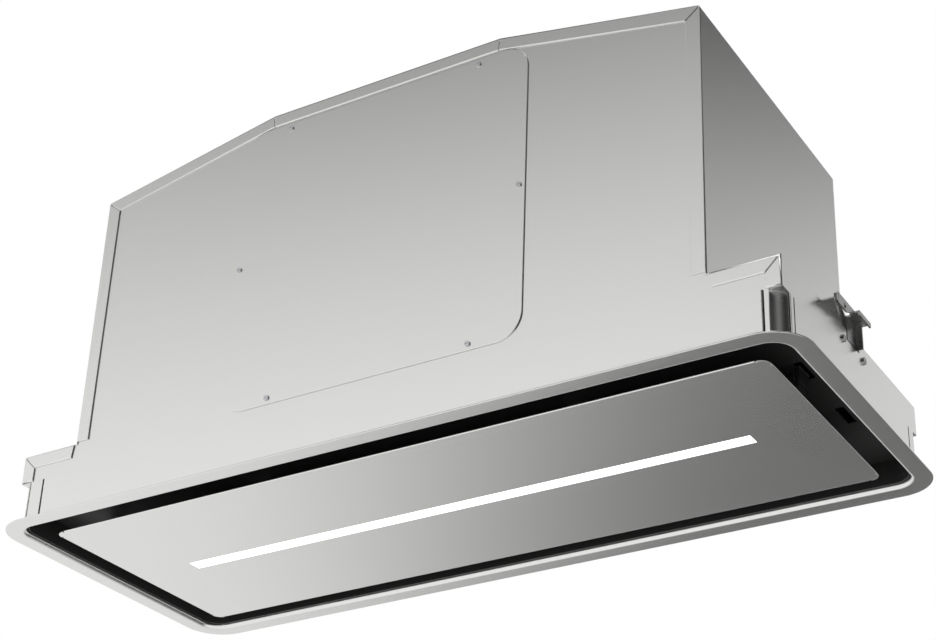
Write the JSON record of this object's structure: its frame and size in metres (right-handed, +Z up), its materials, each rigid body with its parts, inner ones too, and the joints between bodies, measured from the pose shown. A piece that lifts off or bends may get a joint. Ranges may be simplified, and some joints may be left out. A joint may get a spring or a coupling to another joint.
{
  "type": "range hood insert",
  "caption": "Built-in extractor hood insert: flange, folded steel housing, perimeter suction panel with light bar, filters, centrifugal blower and damped duct collar.",
  "frame": {"origin": "centre of the flange's outline at its underside", "axes": "+Z up into the cabinet and out along the duct, +X along the length, +Y from the front plate to the rear plate"},
  "size_m": [0.7, 0.284, 0.372],
  "materials": {
    "stainless": "satin ground stainless sheet",
    "black_coat": "matt black powder coat",
    "filter_aluminium": "rolled aluminium",
    "mesh_aluminium": "expanded aluminium mesh",
    "bright_zinc": "bright zinc plate",
    "galvanised": "galvanised sheet",
    "clamp_steel": "dull zinc plate",
    "channel_aluminium": "mill finish extrusion",
    "light_board": "white solder mask",
    "diffuser": "frosted acrylic",
    "end_cap": "fine grained moulding",
    "wheel_black": "black moulded nylon",
    "hub_cast": "die casting",
    "rubber": "soft black rubber",
    "capacitor_white": "white plastic can",
    "duct_grey": "grey moulding",
    "collar_black": "black moulding",
    "board_green": "green solder mask",
    "driver_black": "black plastic case"
  },
  "bodies": {
    "housing": {"flange_frame": "stainless", "front_plate": "stainless", "rear_plate": "stainless", "top_wrapper": "stainless", "end_wrapper_left": "stainless", "end_wrapper_right": "stainless", "access_cover": "stainless", "inner_liner": "black_coat", "liner_rivets": "black_coat", "hinge_brackets": "black_coat", "catch_clips": "black_coat", "filter_frame_left": "filter_aluminium", "filter_frame_right": "filter_aluminium", "filter_mesh_left": "mesh_aluminium", "filter_mesh_right": "mesh_aluminium", "hinge_pins": "bright_zinc", "cover_screws": "bright_zinc", "collar_screws": "bright_zinc", "damper_pin": "bright_zinc", "clamp_pins": "bright_zinc", "scroll_shell": "galvanised", "scroll_side_front": "galvanised", "scroll_side_rear": "galvanised", "blower_rails": "galvanised", "motor_bracket": "galvanised", "control_box": "galvanised", "control_box_lid": "galvanised", "capacitor_clip": "galvanised", "clamp_bracket_left": "clamp_steel", "clamp_bracket_right": "clamp_steel", "clamp_screws": "clamp_steel", "motor_housing": "hub_cast", "motor_grommets": "rubber", "lead_grommet": "rubber", "capacitor": "capacitor_white", "outlet_adapter": "duct_grey", "duct_collar": "collar_black", "control_board": "board_green", "led_driver": "driver_black"},
    "panel": {"perimeter_panel": "stainless", "panel_stiffeners": "galvanised", "led_channel": "channel_aluminium", "led_board": "light_board", "led_diffuser": "diffuser", "led_end_caps": "end_cap", "hinge_leaves": "bright_zinc", "panel_strikes": "black_coat"},
    "wheel": {"impeller_cage": "wheel_black", "impeller_hub": "hub_cast", "motor_shaft": "bright_zinc"},
    "latch_left": {"filter_latch_left": "bright_zinc"},
    "latch_right": {"filter_latch_right": "bright_zinc"},
    "flap_left": {"damper_flap_left": "duct_grey"},
    "flap_right": {"damper_flap_right": "duct_grey"},
    "catch_left": {"clamp_catch_left": "clamp_steel"},
    "catch_right": {"clamp_catch_right": "clamp_steel"}
  },
  "joints": [
    {"name": "panel_hinge", "type": "hinge", "parent": "housing", "child": "panel", "pos_m": [0, 0.097, 0.012], "axis": [1, 0, 0], "range_deg": [0, 88]},
    {"name": "wheel_spin", "type": "hinge", "parent": "housing", "child": "wheel", "pos_m": [-0.063, 0, 0.184], "axis": [0, 1, 0], "continuous": true},
    {"name": "latch_left_slide", "type": "slide", "parent": "housing", "child": "latch_left", "axis": [0, 1, 0], "range_m": [0, 0.006], "stiffness_N_per_m": 200, "springref_m": -0.003},
    {"name": "latch_right_slide", "type": "slide", "parent": "housing", "child": "latch_right", "axis": [0, 1, 0], "range_m": [0, 0.006], "stiffness_N_per_m": 200, "springref_m": -0.003},
    {"name": "flap_left_hinge", "type": "hinge", "parent": "housing", "child": "flap_left", "pos_m": [0, 0, 0.346], "axis": [0, 1, 0], "range_deg": [0, 75]},
    {"name": "flap_right_hinge", "type": "hinge", "parent": "housing", "child": "flap_right", "pos_m": [0, 0, 0.346], "axis": [0, -1, 0], "range_deg": [0, 75]},
    {"name": "catch_left_hinge", "type": "hinge", "parent": "housing", "child": "catch_left", "pos_m": [-0.3305, 0, 0.0585], "axis": [0, 1, 0], "range_deg": [0, 38], "stiffness_Nm_per_rad": 0.05, "springref_deg": -17.19},
    {"name": "catch_right_hinge", "type": "hinge", "parent": "housing", "child": "catch_right", "pos_m": [0.3305, 0, 0.0585], "axis": [0, -1, 0], "range_deg": [0, 38], "stiffness_Nm_per_rad": 0.05, "springref_deg": -17.19}
  ]
}
